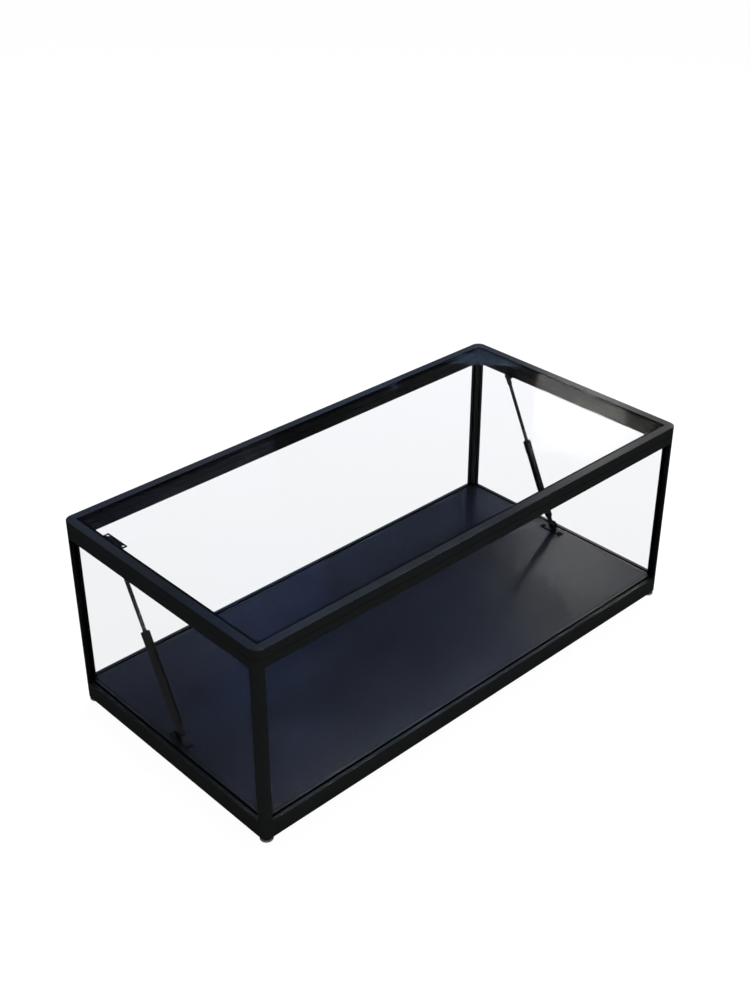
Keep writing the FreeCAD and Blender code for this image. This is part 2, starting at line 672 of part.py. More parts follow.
def glass_pane(name, lengthwise, side):
    """A side pane: a slab drawn on the side's own upright plane."""
    body = new_body(name)
    long_half, short_half = (HALF_LENGTH, HALF_DEPTH) if lengthwise else (HALF_DEPTH, HALF_LENGTH)
    half_run = f"{long_half} - post_width + post_groove_depth - gasket_wall"
    middle = f"{side} * ({short_half} - {PANE_FACE} - {PANE_THICKNESS} / 2)"
    role, height = ("XZ_Plane", f"-({middle})") if lengthwise else ("YZ_Plane", middle)
    face = new_sketch(body, f"{name}_face", role, height)
    draw_loop(face, rectangle(f"-({half_run})", PANE_BOTTOM, half_run, PANE_TOP))
    pad(body, f"{name}_plate", face, PANE_THICKNESS, symmetric=True)
    ground_edges(body, "pane_arris")


def glazing_channel(name, lengthwise, side):
    """The rubber channel round a pane: it fills the groove beside and under the glass."""
    groove_insets = ("groove_inset", GROOVE_END)
    outer = plain_box(f"{name}_outer", *side_corners(
        lengthwise, side, groove_insets, "post_width - post_groove_depth",
        (f"{PANE_BOTTOM} - gasket_wall", f"{PANE_TOP} + gasket_wall"),
    ))
    window = plain_box(f"{name}_window", *side_corners(
        lengthwise, side, groove_insets, "post_width + gasket_lip",
        (f"{BOTTOM_RAIL_TOP} + gasket_lip", f"{TOP_RAIL_BOTTOM} - gasket_lip"),
    ))
    glass = plain_box(f"{name}_glass_room", *side_corners(
        lengthwise, side, (PANE_FACE, f"{PANE_FACE} + {PANE_THICKNESS}"),
        "post_width - post_groove_depth + gasket_wall", (PANE_BOTTOM, PANE_TOP),
    ))
    return cut(name, cut(f"{name}_ring", outer, window), glass)


channels = []
for word, lengthwise, side in (
    ("front", True, -1), ("back", True, 1), ("left", False, -1), ("right", False, 1),
):
    glass_pane(f"glass_pane_{word}", lengthwise, side)
    channels.append(glazing_channel(f"glazing_channel_{word}", lengthwise, side))
group("glazing_channels", channels)


def flat_ring(name, outer_inset, inner_inset, bottom, thickness):
    """A flat rectangular ring round the table between two insets."""
    body = new_body(name)
    plan = new_sketch(body, f"{name}_plan", "XY_Plane", bottom)
    for inset in (outer_inset, inner_inset):
        half_x = f"{HALF_LENGTH} - ({inset})"
        half_y = f"{HALF_DEPTH} - ({inset})"
        draw_loop(plan, rectangle(f"-({half_x})", f"-({half_y})", half_x, half_y))
    pad(body, f"{name}_ring", plan, thickness)


flat_ring("dust_seal", "seal_inset", "seal_inset + seal_width", CASE_TOP, "seal_height")
flat_ring("lid_glass_tape", "lid_land + lid_glass_gap", "top_rail_width", LID_LEDGE, "tape_thickness")


# Hinges, drawn with the pin's axis at the origin and the leaves reaching forward.

def hinge_leaf(name, side, upper):
    body = new_body(name)
    up = 1 if upper else -1
    plate = new_sketch(body, f"{name}_plate_outline", "YZ_Plane")
    heights = ["seam_gap / 2", "seam_gap / 2 + leaf_thickness"]
    low, high = heights if upper else [f"-({text})" for text in heights[::-1]]
    draw_loop(plate, rectangle("-leaf_reach", low, "0", high))
    pad(body, f"{name}_plate", plate, "hinge_length", symmetric=True)
    knuckle = new_sketch(body, f"{name}_knuckle_outline", "YZ_Plane")
    draw_circle(knuckle, "0", "0", "hinge_setback")
    pad(body, f"{name}_knuckle", knuckle, "hinge_length", symmetric=True)
    bore = new_sketch(body, f"{name}_bore_outline", "YZ_Plane")
    draw_circle(bore, "0", "0", "hinge_pin_radius + shaft_gap")
    pocket(body, f"{name}_bore", bore, None, symmetric=True)
    clear_of_knuckles(body, upper)
    centres = [(f"{end} * leaf_screw_spacing / 2", "-leaf_screw_reach") for end in (-1, 1)]
    face = f"{up} * seam_gap / 2"
    drill(body, f"{name}_screw_holes", "XY_Plane", centres, "leaf_screw_radius + shaft_gap", face, None,
          reverse=upper)
    sink = drill(body, f"{name}_countersinks", "XY_Plane", centres, "leaf_screw_radius * screw_head_ratio",
                 face, "leaf_screw_radius * (screw_head_ratio - 1)", reverse=upper)
    sink.TaperAngle = -45
    place(body, f"{side} * {HINGE_X}", HINGE_Y, HINGE_Z)


def clear_of_knuckles(body, upper):
    """Leave room for the other leaf's knuckles: the case keeps the outer two, the lid the middle one."""
    plan = new_sketch(body, f"{body.Label}_knuckle_gap_plan", "XY_Plane")
    reach = "hinge_setback + 2 * running_gap"
    if upper:
        near = "hinge_length / 6 - running_gap / 2"
        far = "hinge_length / 2"
        draw_loop(plan, rectangle(near, f"-({reach})", far, reach))
        draw_loop(plan, rectangle(f"-({far})", f"-({reach})", f"-({near})", reach))
    else:
        near = "hinge_length / 6 + running_gap / 2"
        draw_loop(plan, rectangle(f"-({near})", f"-({reach})", near, reach))
    pocket(body, f"{body.Label}_knuckle_gap", plan, None, symmetric=True)


def turned(name, points, list_it=False):
    """A body turned about its own Z axis."""
    body = doc.addObject("PartDesign::Body", name)
    body.Label = name
    revolve(body, f"{name}_turning", points)
    if list_it:
        pieces.append(body)
    return body


def screw(name, shank, length, head, head_height, countersunk=False):
    """A screw that points down from the origin, with its head above it or sunk below it."""
    if countersunk:
        points = [("0", f"-({length})"), (shank, f"-({length})"), (shank, f"-({head} - {shank})"),
                  (head, "0"), ("0", "0")]
    else:
        points = [("0", f"-({length})"), (shank, f"-({length})"), (shank, "0"), (head, "0"),
                  (head, head_height), ("0", head_height)]
    return turned(name, points)


def aim(item, axis, degrees):
    item.Placement = FreeCAD.Placement(item.Placement.Base, Rotation(axis, degrees))


SIDEWAYS = Vector(0, 1, 0)
LEAF_SCREW_HEAD = "(leaf_screw_radius * screw_head_ratio)"
for part_name, upper in (("hinge_base_leaf", False), ("hinge_lid_leaf", True)):
    leaf_screws = []
    for word, side in (("left", -1), ("right", 1)):
        hinge_leaf(f"{part_name}_{word}", side, upper)
        for end in (-1, 1):
            leaf_screw = screw(f"{part_name}_{word}_screw_{len(leaf_screws)}", "leaf_screw_radius",
                               "leaf_screw_length", LEAF_SCREW_HEAD, "0", countersunk=True)
            aim(leaf_screw, SIDEWAYS, 180 if upper else 0)
            place(leaf_screw, f"{side} * {HINGE_X} + {end} * leaf_screw_spacing / 2",
                  f"{HINGE_Y} - leaf_screw_reach", LID_BOTTOM if upper else CASE_TOP)
            leaf_screws.append(leaf_screw)
    group("hinge_lid_screws" if upper else "hinge_base_screws", leaf_screws)

hinge_pins = []
for word, side in (("left", -1), ("right", 1)):
    half = "hinge_length / 2"
    pin = turned(f"hinge_pin_{word}", rectangle("0", f"-({half})", "hinge_pin_radius", half))
    aim(pin, SIDEWAYS, 90)
    place(pin, f"{side} * {HINGE_X}", HINGE_Y, HINGE_Z)
    hinge_pins.append(pin)
group("hinge_pins", hinge_pins)


# Strut brackets, drawn for the right end with the strut's pivot at the origin.

def strut_bracket(name, seat, plate_up, leg_low):
    """A folded bracket: a drilled plate on its seat, and an ear that carries the pivot.

    The seat is the plate's outer face, above or below the pivot; leg_low is where the full-length leg
    beside the ear ends, or None for a bracket with no leg.
    """
    body = new_body(name)
    outer = f"{BRACKET_OUTER} - {STRUT_X}"
    inner = f"{BRACKET_INNER} - {STRUT_X}"
    half = "bracket_length / 2"
    plan = new_sketch(body, f"{name}_plate_plan", "XY_Plane", seat)
    draw_loop(plan, rectangle(inner, f"-({half})", outer, half))
    for end in (-1, 1):
        draw_circle(plan, "0", f"{end} * bracket_hole_spacing / 2", "bracket_hole_radius")
    pad(body, f"{name}_plate", plan, "bracket_thickness", reverse=not plate_up)
    ear_face = f"{EAR_INNER} - {STRUT_X}"
    ear = new_sketch(body, f"{name}_ear_outline", "YZ_Plane", ear_face)
    low, high = (seat, "0") if plate_up else ("0", seat)
    draw_loop(ear, rectangle("-bracket_ear_width / 2", low, "bracket_ear_width / 2", high))
    pad(body, f"{name}_ear", ear, "bracket_thickness")
    tip = new_sketch(body, f"{name}_ear_tip_outline", "YZ_Plane", ear_face)
    draw_circle(tip, "0", "0", "bracket_ear_width / 2")
    pad(body, f"{name}_ear_tip", tip, "bracket_thickness")
    if leg_low:
        leg = new_sketch(body, f"{name}_leg_outline", "YZ_Plane", ear_face)
        draw_loop(leg, rectangle(f"-({half})", leg_low, half, seat))
        pad(body, f"{name}_leg", leg, "bracket_thickness")
        drill(body, f"{name}_leg_holes", "YZ_Plane",
              [(f"{end} * bracket_screw_spacing / 2", f"{LEG_SCREW_Z} - {STRUT_LID_Z}") for end in (-1, 1)],
              "bracket_screw_radius + shaft_gap", ear_face, None, reverse=True)
    pin_hole = "strut_pin_radius + shaft_gap" if leg_low else "strut_pin_radius"
    drill(body, f"{name}_pin_hole", "YZ_Plane", [("0", "0")], pin_hole, ear_face, None, reverse=True)
    return body


floor_pins, floor_screws, lid_bracket_screws = [], [], []
for word, side, half_turn in (("left", -1, 180), ("right", 1, 0)):
    strut_x = f"{side} * {STRUT_X}"
    floor_bracket = strut_bracket(f"strut_floor_bracket_{word}", "-strut_floor_pivot", True, None)
    turn(floor_bracket, half_turn)
    place(floor_bracket, strut_x, "0", STRUT_FLOOR_Z)
    lid_bracket = strut_bracket(
        f"strut_lid_bracket_{word}", f"{LID_PLATE_TOP} - {STRUT_LID_Z}", False,
        f"{LID_PLATE_TOP} - bracket_leg_height - {STRUT_LID_Z}",
    )
    turn(lid_bracket, half_turn)
    place(lid_bracket, strut_x, "strut_lid_pivot_back", STRUT_LID_Z)

    eye_face = "eye_thickness / 2 + running_gap"
    ear_inner = f"{EAR_INNER} - {STRUT_X}"
    ear_outer = f"{BRACKET_OUTER} - {STRUT_X}"
    floor_pin = turned(f"strut_floor_pin_{word}", [
        ("0", f"-({eye_face} + strut_pin_head_height)"),
        ("strut_pin_head", f"-({eye_face} + strut_pin_head_height)"),
        ("strut_pin_head", f"-({eye_face})"),
        ("strut_pin_radius", f"-({eye_face})"),
        ("strut_pin_radius", eye_face),
        ("strut_pin_head", eye_face),
        ("strut_pin_head", ear_inner),
        ("strut_pin_radius", ear_inner),
        ("strut_pin_radius", ear_outer),
        ("strut_pin_head", ear_outer),
        ("strut_pin_head", f"{ear_outer} + strut_pin_head_height"),
        ("0", f"{ear_outer} + strut_pin_head_height"),
    ])
    aim(floor_pin, SIDEWAYS, 90 * side)
    place(floor_pin, strut_x, "0", STRUT_FLOOR_Z)
    floor_pins.append(floor_pin)
    for end in (-1, 1):
        floor_screw = screw(
            f"floor_screw_{word}_{end + 1}", "floor_screw_radius", "floor_screw_length + bracket_thickness",
            "floor_screw_head", "bracket_thickness",
        )
        place(floor_screw, strut_x, f"{end} * bracket_hole_spacing / 2",
              f"{BOTTOM_RAIL_TOP} + bracket_thickness")
        floor_screws.append(floor_screw)
        leg_screw = screw(
            f"leg_screw_{word}_{end + 1}", "bracket_screw_radius",
            "bracket_thickness + wall + running_gap + bracket_screw_radius",
            "bracket_screw_radius * screw_head_ratio", "bracket_screw_radius",
        )
        aim(leg_screw, SIDEWAYS, -90 * side)
        place(leg_screw, f"{side} * {EAR_INNER}",
              f"strut_lid_pivot_back + {end} * bracket_screw_spacing / 2", LEG_SCREW_Z)
        lid_bracket_screws.append(leg_screw)
group("strut_floor_pins", floor_pins)
group("floor_bracket_screws", floor_screws)
group("lid_bracket_screws", lid_bracket_screws)


# Gas struts, drawn upright from the lower pivot and leaned back to the upper one.

def add_eye(body, height):
    eye = new_sketch(body, f"{body.Label}_eye_outline", "YZ_Plane")
    draw_circle(eye, "0", height, "eye_radius")
    pad(body, f"{body.Label}_eye", eye, "eye_thickness", symmetric=True)


def lean_strut(body, side):
    aim(body, Vector(-1, 0, 0), number(STRUT_LEAN))
    bind(body, "Placement.Rotation.Angle", STRUT_LEAN)
    place(body, f"{side} * {STRUT_X}", "0", STRUT_FLOOR_Z)


NECK_START = "(eye_radius - eye_overlap)"
CYLINDER_BORE = "(strut_cylinder_radius - strut_cylinder_wall)"
COLLAR_FOOT = "(strut_collar_top - strut_collar_length)"
GLAND_FOOT = f"({COLLAR_FOOT} + strut_collar_length / 3)"
CYLINDER_FLOOR = "(strut_rod_foot - piston_length)"


def strut_cylinder(word, side):
    body = turned(f"strut_cylinder_{word}", [
        ("0", NECK_START),
        ("strut_neck_radius", NECK_START),
        ("strut_neck_radius", "strut_cylinder_start - wall"),
        ("strut_cylinder_radius", "strut_cylinder_start"),
        ("strut_cylinder_radius", COLLAR_FOOT),
        ("strut_collar_radius", f"{COLLAR_FOOT} + strut_chamfer"),
        ("strut_collar_radius", "strut_collar_top - strut_chamfer"),
        ("strut_collar_radius - strut_chamfer", "strut_collar_top"),
        ("strut_rod_radius + shaft_gap", "strut_collar_top"),
        ("strut_rod_radius + shaft_gap", GLAND_FOOT),
        (CYLINDER_BORE, GLAND_FOOT),
        (CYLINDER_BORE, CYLINDER_FLOOR),
        ("0", CYLINDER_FLOOR),
    ], list_it=True)
    add_eye(body, "0")
    bore = new_sketch(body, f"{body.Label}_pin_bore_outline", "YZ_Plane")
    draw_circle(bore, "0", "0", "strut_pin_radius + shaft_gap")
    pocket(body, f"{body.Label}_pin_bore", bore, None, symmetric=True)
    lean_strut(body, side)


def strut_rod(word, side):
    """The piston rod.  Its pivot stud ends just short of the ear of the lid bracket."""
    body = turned(f"strut_rod_{word}", [
        ("0", "strut_rod_foot"),
        (f"{CYLINDER_BORE} - shaft_gap", "strut_rod_foot"),
        (f"{CYLINDER_BORE} - shaft_gap", "strut_rod_foot + piston_length"),
        ("strut_rod_radius", "strut_rod_foot + piston_length"),
        ("strut_rod_radius", f"{STRUT_LENGTH} - strut_cylinder_start + wall"),
        ("strut_neck_radius", f"{STRUT_LENGTH} - strut_cylinder_start + 2 * wall"),
        ("strut_neck_radius", f"{STRUT_LENGTH} - {NECK_START}"),
        ("0", f"{STRUT_LENGTH} - {NECK_START}"),
    ], list_it=True)
    add_eye(body, STRUT_LENGTH)
    stud_end = f"{EAR_INNER} - {STRUT_X} - running_gap"
    stud = new_sketch(body, f"{body.Label}_stud_outline", "YZ_Plane")
    draw_circle(stud, "0", STRUT_LENGTH, "strut_pin_radius")
    pad(body, f"{body.Label}_stud", stud, stud_end, reverse=side < 0)
    head = new_sketch(body, f"{body.Label}_head_outline", "YZ_Plane")
    draw_circle(head, "0", STRUT_LENGTH, "strut_pin_head")
    pad(body, f"{body.Label}_head", head, "eye_thickness / 2 + strut_pin_head_height", reverse=side > 0)
    lean_strut(body, side)


for word, side in (("left", -1), ("right", 1)):
    strut_cylinder(word, side)
    strut_rod(word, side)


# Feet and the screws that hold the posts.

post_screws = []
for name, side_x, side_y, _ in CORNERS:
    foot_x = signed(side_x, f"{HALF_LENGTH} - foot_inset")
    foot_y = signed(side_y, f"{HALF_DEPTH} - foot_inset")
    hub_top = "foot_height - running_gap"
    stud = turned(f"foot_stud_{name}", [
        ("0", "foot_pad_height"),
        ("foot_hub_radius", "foot_pad_height"),
        ("foot_hub_radius", hub_top),
        ("foot_stud_radius", hub_top),
        ("foot_stud_radius", "foot_height + foot_stud_length"),
        ("0", "foot_height + foot_stud_length"),
    ], list_it=True)
    place(stud, foot_x, foot_y)
    foot_pad = turned(f"foot_pad_{name}", [
        ("0", "0"),
        ("foot_pad_radius - foot_pad_chamfer", "0"),
        ("foot_pad_radius", "foot_pad_chamfer"),
        ("foot_pad_radius", "foot_pad_height"),
        ("0", "foot_pad_height"),
    ], list_it=True)
    place(foot_pad, foot_x, foot_y)
    post_screw = screw(f"post_screw_{name}", "post_screw_radius",
                       f"{BOTTOM_RAIL_TOP} + post_screw_reach - {POST_SCREW_SEAT}",
                       POST_SCREW_HEAD, "2 * post_screw_radius")
    aim(post_screw, SIDEWAYS, 180)
    place(post_screw, signed(side_x, f"{HALF_LENGTH} - post_screw_inset"),
          signed(side_y, f"{HALF_DEPTH} - post_screw_inset"), POST_SCREW_SEAT)
    post_screws.append(post_screw)
group("post_screws", post_screws)

doc.recompute()
for item in doc.Objects:
    if "Invalid" in item.State or "Error" in item.State:
        raise RuntimeError(f"{item.Label} did not recompute: {item.State}")
for item in pieces:
    if item.Shape.isNull() or not item.Shape.isValid():
        raise RuntimeError(f"{item.Label} has no valid shape")

os.makedirs("parts", exist_ok=True)
for item in pieces:
    item.Shape.exportStep(os.path.join("parts", f"{item.Label}.step"))
print(f"{len(pieces)} pieces")
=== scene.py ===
"""Looks of the collectors display table: finishes, glass, struts, screws and feet round the CAD frame."""

import math

import bmesh
import bpy
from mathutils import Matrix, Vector


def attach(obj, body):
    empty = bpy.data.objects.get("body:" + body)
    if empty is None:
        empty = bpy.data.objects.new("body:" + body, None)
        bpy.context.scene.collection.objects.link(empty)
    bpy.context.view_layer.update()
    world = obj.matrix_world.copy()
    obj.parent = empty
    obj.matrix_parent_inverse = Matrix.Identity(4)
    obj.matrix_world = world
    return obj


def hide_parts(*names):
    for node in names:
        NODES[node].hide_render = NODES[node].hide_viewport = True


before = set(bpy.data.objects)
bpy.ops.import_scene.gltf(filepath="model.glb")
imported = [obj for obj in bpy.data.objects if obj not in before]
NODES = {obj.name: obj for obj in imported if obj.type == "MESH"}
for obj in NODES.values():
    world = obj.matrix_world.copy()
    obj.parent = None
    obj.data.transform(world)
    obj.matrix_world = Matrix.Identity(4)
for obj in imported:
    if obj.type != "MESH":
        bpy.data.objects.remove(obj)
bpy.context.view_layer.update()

MM = 0.001
SIDES = ("front", "back", "left", "right")
ENDS = ("left", "right")
CORNERS = ("front_left", "front_right", "back_left", "back_right")


# Colour and node helpers.

def colour(hex_code):
    """A linear colour from an sRGB hex value."""
    def linear(value):
        return value / 12.92 if value <= 0.04045 else ((value + 0.055) / 1.055) ** 2.4
    channels = [int(hex_code[place:place + 2], 16) / 255 for place in (1, 3, 5)]
    return (*[linear(channel) for channel in channels], 1.0)


def add_node(tree, kind, inputs=None, **settings):
    """Add a node: settings are its properties, and an input is a value or the socket that feeds it."""
    node = tree.nodes.new(kind)
    for name, value in settings.items():
        setattr(node, name, value)
    for key, value in (inputs or {}).items():
        if isinstance(value, bpy.types.NodeSocket):
            tree.links.new(value, node.inputs[key])
        else:
            node.inputs[key].default_value = value
    return node


def new_material(name):
    """An empty node material with its output, and the piece's own coordinates in metres."""
    material = bpy.data.materials.new(name)
    material.use_nodes = True
    tree = material.node_tree
    tree.nodes.clear()
    output = add_node(tree, "ShaderNodeOutputMaterial")
    place = add_node(tree, "ShaderNodeTexCoord").outputs["Object"]
    return material, tree, output, place


def grain(tree, place, size_mm, detail=2.0):
    """Noise whose features are about size_mm across."""
    return add_node(tree, "ShaderNodeTexNoise", {
        "Vector": place, "Scale": 1 / (size_mm * MM), "Detail": detail,
    }).outputs["Fac"]


def spread(tree, value, low, high):
    """Map the middle of a noise to a range of values."""
    return add_node(tree, "ShaderNodeMapRange", {
        "Value": value, "From Min": 0.3, "From Max": 0.7, "To Min": low, "To Max": high,
    }).outputs["Result"]


def blend_colours(tree, value, first, second):
    """Let a noise run between two colours."""
    ramp = add_node(tree, "ShaderNodeValToRGB", {"Fac": value})
    ramp.color_ramp.elements[0].position = 0.3
    ramp.color_ramp.elements[0].color = colour(first)
    ramp.color_ramp.elements[1].position = 0.7
    ramp.color_ramp.elements[1].color = colour(second)
    return ramp.outputs["Color"]


def raised(tree, height, depth_mm):
    """A bump of a real depth."""
    return add_node(tree, "ShaderNodeBump", {
        "Height": height, "Strength": 1.0, "Distance": depth_mm * MM,
    }).outputs["Normal"]


# Finishes.

def even_gloss(tree, output, body, share, roughness, normal):
    """Lay a faint gloss, equal at every angle, over a dark matt body."""
    gloss = add_node(tree, "ShaderNodeBsdfAnisotropic", {
        "Color": colour("#FFFFFF"), "Roughness": roughness, "Normal": normal,
    })
    mixed = add_node(tree, "ShaderNodeMixShader", {
        0: share, 1: body.outputs["BSDF"], 2: gloss.outputs["BSDF"],
    })
    tree.links.new(mixed.outputs["Shader"], output.inputs["Surface"])


def powder_coated_aluminium():
    """Satin black polyester powder: soft highlights, broken up by a fine orange peel."""
    material, tree, output, place = new_material("powder-coated aluminium")
    peel = raised(tree, grain(tree, place, 2.2, detail=3.0), 0.006)
    flow = grain(tree, place, 60.0)
    powder = add_node(tree, "ShaderNodeBsdfPrincipled", {
        "Base Color": blend_colours(tree, flow, "#0D0F0F", "#111313"),
        "Roughness": spread(tree, flow, 0.52, 0.58),
        "IOR": 1.5,
        "Specular IOR Level": 0.0,
        "Normal": peel,
    })
    even_gloss(tree, output, powder, 0.0045, spread(tree, flow, 0.20, 0.23), peel)
    return material


def lacquered_board():
    """Blue-black satin lacquer on fibreboard: a deep, even sheet with a blurred reflection."""
    material, tree, output, place = new_material("lacquered fibreboard")
    mist = grain(tree, place, 90.0)
    texture = raised(tree, grain(tree, place, 1.6, detail=4.0), 0.002)
    lacquer = add_node(tree, "ShaderNodeBsdfPrincipled", {
        "Base Color": blend_colours(tree, mist, "#0B0E14", "#0E1118"),
        "Roughness": spread(tree, mist, 0.4, 0.46),
        "IOR": 1.5,
        "Specular IOR Level": 0.0,
        "Normal": texture,
    })
    even_gloss(tree, output, lacquer, 0.0035, spread(tree, mist, 0.19, 0.22), texture)
    return material


def clear_float_glass():
    """Polished clear float glass: sharp reflections, nearly no tint, and light that passes straight in."""
    material, tree, output, place = new_material("clear float glass")
    smear = grain(tree, place, 140.0)
    glass = add_node(tree, "ShaderNodeBsdfPrincipled", {
        "Base Color": colour("#F5F5F5"),
        "Roughness": spread(tree, smear, 0.0, 0.004),
        "IOR": 1.021,
        "Transmission Weight": 1.0,
    })
    clear = add_node(tree, "ShaderNodeBsdfTransparent", {"Color": colour("#F5F5F5")})
    path = add_node(tree, "ShaderNodeLightPath")
    lit = add_node(tree, "ShaderNodeMath", {
        0: path.outputs["Is Shadow Ray"], 1: path.outputs["Is Diffuse Ray"],
    }, operation="MAXIMUM")
    mixed = add_node(tree, "ShaderNodeMixShader", {
        0: lit.outputs["Value"], 1: glass.outputs["BSDF"], 2: clear.outputs["BSDF"],
    })
    tree.links.new(mixed.outputs["Shader"], output.inputs["Surface"])
    return material


def dull_finish(name, dark, light, gloss, roughness, grain_mm, depth_mm):
    """A two-tone dark body with a faint even gloss and one grain, for the small parts."""
    material, tree, output, place = new_material(name)
    fine = raised(tree, grain(tree, place, grain_mm, detail=3.0), depth_mm)
    broad = grain(tree, place, grain_mm * 12)
    body = add_node(tree, "ShaderNodeBsdfPrincipled", {
        "Base Color": blend_colours(tree, broad, dark, light),
        "Roughness": spread(tree, broad, 0.5, 0.6),
        "IOR": 1.5,
        "Specular IOR Level": 0.0,
        "Normal": fine,
    })
    even_gloss(tree, output, body, gloss, spread(tree, broad, *roughness), fine)
    return material


def metal_finish(name, dark, light, roughness, grain_mm, depth_mm):
    """Dark bare metal: all of what is seen is reflection, tinted by the metal."""
    material, tree, output, place = new_material(name)
    fine = raised(tree, grain(tree, place, grain_mm, detail=3.0), depth_mm)
    broad = grain(tree, place, grain_mm * 12)
    shader = add_node(tree, "ShaderNodeBsdfPrincipled", {
        "Base Color": blend_colours(tree, broad, dark, light),
        "Roughness": spread(tree, broad, *roughness),
        "Metallic": 1.0,
        "Specular Tint": colour("#3A3A3A"),
        "Normal": fine,
    })
    tree.links.new(shader.outputs["BSDF"], output.inputs["Surface"])
    return material


def extruded_rubber():
    """EPDM profile: matt black that swallows nearly all the light."""
    return dull_finish("extruded EPDM rubber", "#050608", "#090A0C", 0.0006, (0.5, 0.6), 1.4, 0.03)


def foam_tape():
    """Acrylic foam tape behind the glass: flat black, no highlight."""
    return dull_finish("acrylic foam tape", "#060708", "#0A0B0C", 0.0004, (0.7, 0.8), 1.0, 0.04)


def coated_steel():
    """Electrocoated pressed steel: thin, smooth satin black that shows the bend."""
    return dull_finish("electrocoated steel", "#090A0B", "#0D0E0F", 0.0022, (0.3, 0.36), 1.8, 0.006)


def painted_tube():
    """Baked paint on the drawn strut tube: a long clean highlight."""
    return dull_finish("painted strut tube", "#040505", "#070808", 0.0075, (0.17, 0.2), 2.4, 0.001)


def moulded_nylon():
    """Grey moulded nylon pads: a low sheen over a spark-eroded mould grain."""
    return dull_finish("moulded nylon", "#6A6C6D", "#777A7B", 0.04, (0.3, 0.36), 1.1, 0.01)


def nitrided_rod():
    """Nitrided piston rod: ground near-black steel with a thin bright line."""
    return metal_finish("nitrided steel rod", "#202224", "#292B2D", (0.16, 0.22), 1.2, 0.002)


def black_oxide():
    """Black-oxide screw steel: dark, slightly brown, soft metallic shine."""
    return metal_finish("black-oxide steel", "#171615", "#1E1C1B", (0.24, 0.32), 0.9, 0.004)


COAT = powder_coated_aluminium()
BOARD = lacquered_board()
GLASS = clear_float_glass()
RUBBER = extruded_rubber()
TAPE = foam_tape()
STEEL = coated_steel()
TUBE = painted_tube()
ROD = nitrided_rod()
SCREW = black_oxide()
NYLON = moulded_nylon()


# Mesh helpers.

def dress(node, material):
    """Give a CAD node its finish."""
    mesh = NODES[node].data
    mesh.materials.clear()
    mesh.materials.append(material)


def merged_copy(node):
    """A mesh copy of a CAD node with its loose triangles joined into whole faces."""
    work = bmesh.new()
    work.from_mesh(NODES[node].data)
    bmesh.ops.remove_doubles(work, verts=work.verts, dist=0.001 * MM)
    bmesh.ops.dissolve_limit(work, angle_limit=math.radians(0.5), verts=work.verts, edges=work.edges)
    mesh = bpy.data.meshes.new(node)
    work.to_mesh(mesh)
    work.free()
    return mesh


def new_piece(name, mesh, body, material, replaced=()):
    """Put a finished mesh in the scene, riding on its body."""
    mesh.materials.clear()
    mesh.materials.append(material)
    piece = bpy.data.objects.new(name, mesh)
    bpy.context.scene.collection.objects.link(piece)
    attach(piece, body)
    if replaced:
        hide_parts(*replaced)
    return piece


def evaluated_mesh(source):
    """The plain mesh that an object's modifiers give; the object itself is deleted."""
    bpy.context.view_layer.update()
    shown = source.evaluated_get(bpy.context.evaluated_depsgraph_get())
    mesh = bpy.data.meshes.new_from_object(shown)
    source.modifiers.clear()
    bpy.data.objects.remove(source)
    return mesh


def eased(mesh, width_mm, segments=3):
    """Round every sharp edge of a mesh and shade it smooth."""
    source = bpy.data.objects.new("eased", mesh)
    bpy.context.scene.collection.objects.link(source)
    bevel = source.modifiers.new("edges", "BEVEL")
    bevel.width = width_mm * MM
    bevel.segments = segments
    bevel.limit_method = "ANGLE"
    bevel.angle_limit = math.radians(32)
    bevel.harden_normals = True
    return evaluated_mesh(source)


def shade(mesh, angle=30):
    """Smooth shading that keeps edges sharper than an angle."""
    for face in mesh.polygons:
        face.use_smooth = True
    mesh.set_sharp_from_angle(angle=math.radians(angle))
    return mesh


def rounded_node(node, material, body, width_mm=None):
    """Replace a CAD node with the same shape, smoothly shaded and with eased edges."""
    mesh = shade(merged_copy(node))
    if width_mm:
        mesh = eased(mesh, width_mm)
    return new_piece(f"{node}_finished", mesh, body, material, [node])


# The frame: rails keep the CAD faces, corners and posts are shaded round.

TAPE_INNER_HALF_LENGTH = 574.0 * MM
TAPE_INNER_HALF_DEPTH = 274.0 * MM
# How far the tape's inner edge is moved inwards past the real tape: a black strip painted as the shadow line round
# the lid glass.
PAINTED_SHADOW_LINE_WIDTH = 3.0 * MM


def build_lid_tape_and_shadow_line():
    """The bonding tape, its inner edge run on inwards past the real tape so that the black strip stands as a
    painted shadow line in the gap round the lid pane.
    """
    mesh = NODES["lid_glass_tape"].data.copy()
    for vertex in mesh.vertices:
        inside_length = abs(vertex.co.x) < TAPE_INNER_HALF_LENGTH + MM
        if inside_length and abs(vertex.co.y) < TAPE_INNER_HALF_DEPTH + MM:
            vertex.co.x -= math.copysign(PAINTED_SHADOW_LINE_WIDTH, vertex.co.x)
            vertex.co.y -= math.copysign(PAINTED_SHADOW_LINE_WIDTH, vertex.co.y)
    new_piece("lid_glass_tape_with_painted_shadow", mesh, "lid", TAPE, ["lid_glass_tape"])


for side in SIDES:
    for part in ("bottom_rail", "top_rail", "lid_rail"):
        dress(f"{part}_{side}", COAT)
    dress(f"glass_pane_{side}", GLASS)
for corner in CORNERS:
    rounded_node(f"foot_corner_{corner}", COAT, "case")
    rounded_node(f"corner_post_{corner}", COAT, "case")
    rounded_node(f"lid_corner_{corner}", COAT, "lid")
dress("floor_panel", BOARD)
dress("lid_glass", GLASS)
build_lid_tape_and_shadow_line()
dress("glazing_channels", RUBBER)
dress("dust_seal", RUBBER)

# Hinges, brackets, struts and feet.

